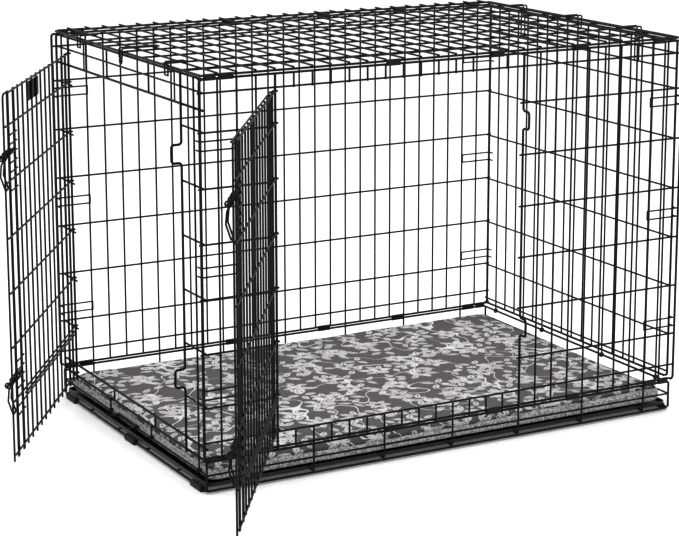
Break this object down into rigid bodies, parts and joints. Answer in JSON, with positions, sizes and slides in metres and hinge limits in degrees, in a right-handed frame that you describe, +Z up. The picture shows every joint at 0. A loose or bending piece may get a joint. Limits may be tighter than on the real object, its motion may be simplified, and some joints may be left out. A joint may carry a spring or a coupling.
{
  "type": "wire dog crate",
  "caption": "Folding black wire dog crate with a hinged door in one long side and one in an end, bolt latches with turning handles, a slide-out pan and a padded fleece mat.",
  "frame": {"origin": "on the floor, at the centre of the crate's footprint with its doors shut", "axes": "+X along the length towards the plain end (the end door is at -X), +Y towards the long side with no door (the side door is at -Y), +Z up"},
  "size_m": [1.369, 1.1416, 0.783],
  "materials": {
    "black_wire": "satin black electro-coat on steel wire",
    "clip_metal": "dark coated steel sheet, crimped",
    "foot_plastic": "soft black plastic",
    "pan_plastic": "black moulded plastic with a fine grain",
    "plate_plastic": "moulded black plastic",
    "mat_fleece": "short plush top with a leaf pattern and long fleece sides"
  },
  "bodies": {
    "crate": {"floor_frame": "black_wire", "floor_long_wires": "black_wire", "floor_cross_wires": "black_wire", "rim_uprights": "black_wire", "rim_rails": "black_wire", "base_end_wires": "black_wire", "feet": "foot_plastic", "front_posts": "black_wire", "front_rails": "black_wire", "front_uprights": "black_wire", "front_cross_wires": "black_wire", "side_door_jambs": "black_wire", "back_posts": "black_wire", "back_rails": "black_wire", "back_uprights": "black_wire", "back_cross_wires": "black_wire", "corner_hooks": "black_wire", "roof_frame": "black_wire", "roof_long_wires": "black_wire", "roof_cross_wires": "black_wire", "roof_end_hooks": "black_wire", "roof_catch_loops": "black_wire", "roof_clips": "clip_metal", "base_clips": "clip_metal", "left_end_posts": "black_wire", "left_end_rails": "black_wire", "left_end_uprights": "black_wire", "left_end_cross_wires": "black_wire", "end_door_jambs": "black_wire", "left_end_hairpins": "black_wire", "left_end_hinge_eyes": "black_wire", "mat": "mat_fleece"},
    "right_end": {"right_end_posts": "black_wire", "right_end_rails": "black_wire", "right_end_uprights": "black_wire", "right_end_cross_wires": "black_wire", "right_end_hairpins": "black_wire", "right_end_hinge_eyes": "black_wire"},
    "side_door": {"side_door_edges": "black_wire", "side_door_uprights": "black_wire", "side_door_cross_wires": "black_wire", "side_door_stiffeners": "black_wire", "side_door_bolt_guides": "black_wire"},
    "end_door": {"end_door_edges": "black_wire", "end_door_uprights": "black_wire", "end_door_cross_wires": "black_wire", "end_door_stiffeners": "black_wire", "end_door_bolt_guides": "black_wire", "end_door_plate": "plate_plastic"},
    "side_upper_bolt": {"side_upper_bolt": "black_wire"},
    "side_upper_handle": {"side_upper_handle": "black_wire"},
    "side_lower_bolt": {"side_lower_bolt": "black_wire"},
    "side_lower_handle": {"side_lower_handle": "black_wire"},
    "end_upper_bolt": {"end_upper_bolt": "black_wire"},
    "end_upper_handle": {"end_upper_handle": "black_wire"},
    "end_lower_bolt": {"end_lower_bolt": "black_wire"},
    "end_lower_handle": {"end_lower_handle": "black_wire"},
    "pan": {"pan": "pan_plastic"},
    "pan_stop": {"pan_stop": "black_wire"}
  },
  "joints": [
    {"name": "side_door_swing", "type": "hinge", "parent": "crate", "child": "side_door", "pos_m": [-0.38107, -0.3531, 0.4], "axis": [0, 0, 1], "range_deg": [-36, 124]},
    {"name": "end_door_swing", "type": "hinge", "parent": "crate", "child": "end_door", "pos_m": [-0.5251, 0.278, 0.4], "axis": [0, 0, 1], "range_deg": [-126, 34]},
    {"name": "side_upper_bolt_slide", "type": "slide", "parent": "side_door", "child": "side_upper_bolt", "axis": [-0.5592, -0.829, 0], "range_m": [0, 0.028]},
    {"name": "side_upper_handle_turn", "type": "hinge", "parent": "side_upper_bolt", "child": "side_upper_handle", "pos_m": [-0.65524, -0.73811, 0.64], "axis": [0.5592, 0.829, 0], "range_deg": [0, 100]},
    {"name": "side_lower_bolt_slide", "type": "slide", "parent": "side_door", "child": "side_lower_bolt", "axis": [-0.5592, -0.829, 0], "range_m": [0, 0.028]},
    {"name": "side_lower_handle_turn", "type": "hinge", "parent": "side_lower_bolt", "child": "side_lower_handle", "pos_m": [-0.65524, -0.73811, 0.23], "axis": [0.5592, 0.829, 0], "range_deg": [0, 100]},
    {"name": "end_upper_bolt_slide", "type": "slide", "parent": "end_door", "child": "end_upper_bolt", "axis": [-0.5592, -0.829, 0], "range_m": [0, 0.028]},
    {"name": "end_upper_handle_turn", "type": "hinge", "parent": "end_upper_bolt", "child": "end_upper_handle", "pos_m": [-0.8029, -0.1124, 0.621], "axis": [0.5592, 0.829, 0], "range_deg": [0, 100]},
    {"name": "end_lower_bolt_slide", "type": "slide", "parent": "end_door", "child": "end_lower_bolt", "axis": [-0.5592, -0.829, 0], "range_m": [0, 0.028]},
    {"name": "end_lower_handle_turn", "type": "hinge", "parent": "end_lower_bolt", "child": "end_lower_handle", "pos_m": [-0.8029, -0.1124, 0.2], "axis": [0.5592, 0.829, 0], "range_deg": [0, 100]},
    {"name": "pan_slide", "type": "slide", "parent": "crate", "child": "pan", "axis": [-1, 0, 0], "range_m": [0, 1.1]},
    {"name": "pan_stop_turn", "type": "hinge", "parent": "crate", "child": "pan_stop", "pos_m": [-0.5246, 0, 0.037], "axis": [0, 1, 0], "range_deg": [-100, 0]},
    {"name": "right_end_fold", "type": "hinge", "parent": "crate", "child": "right_end", "pos_m": [0.5246, 0, 0.06], "axis": [0, -1, 0], "range_deg": [0, 90]}
  ]
}
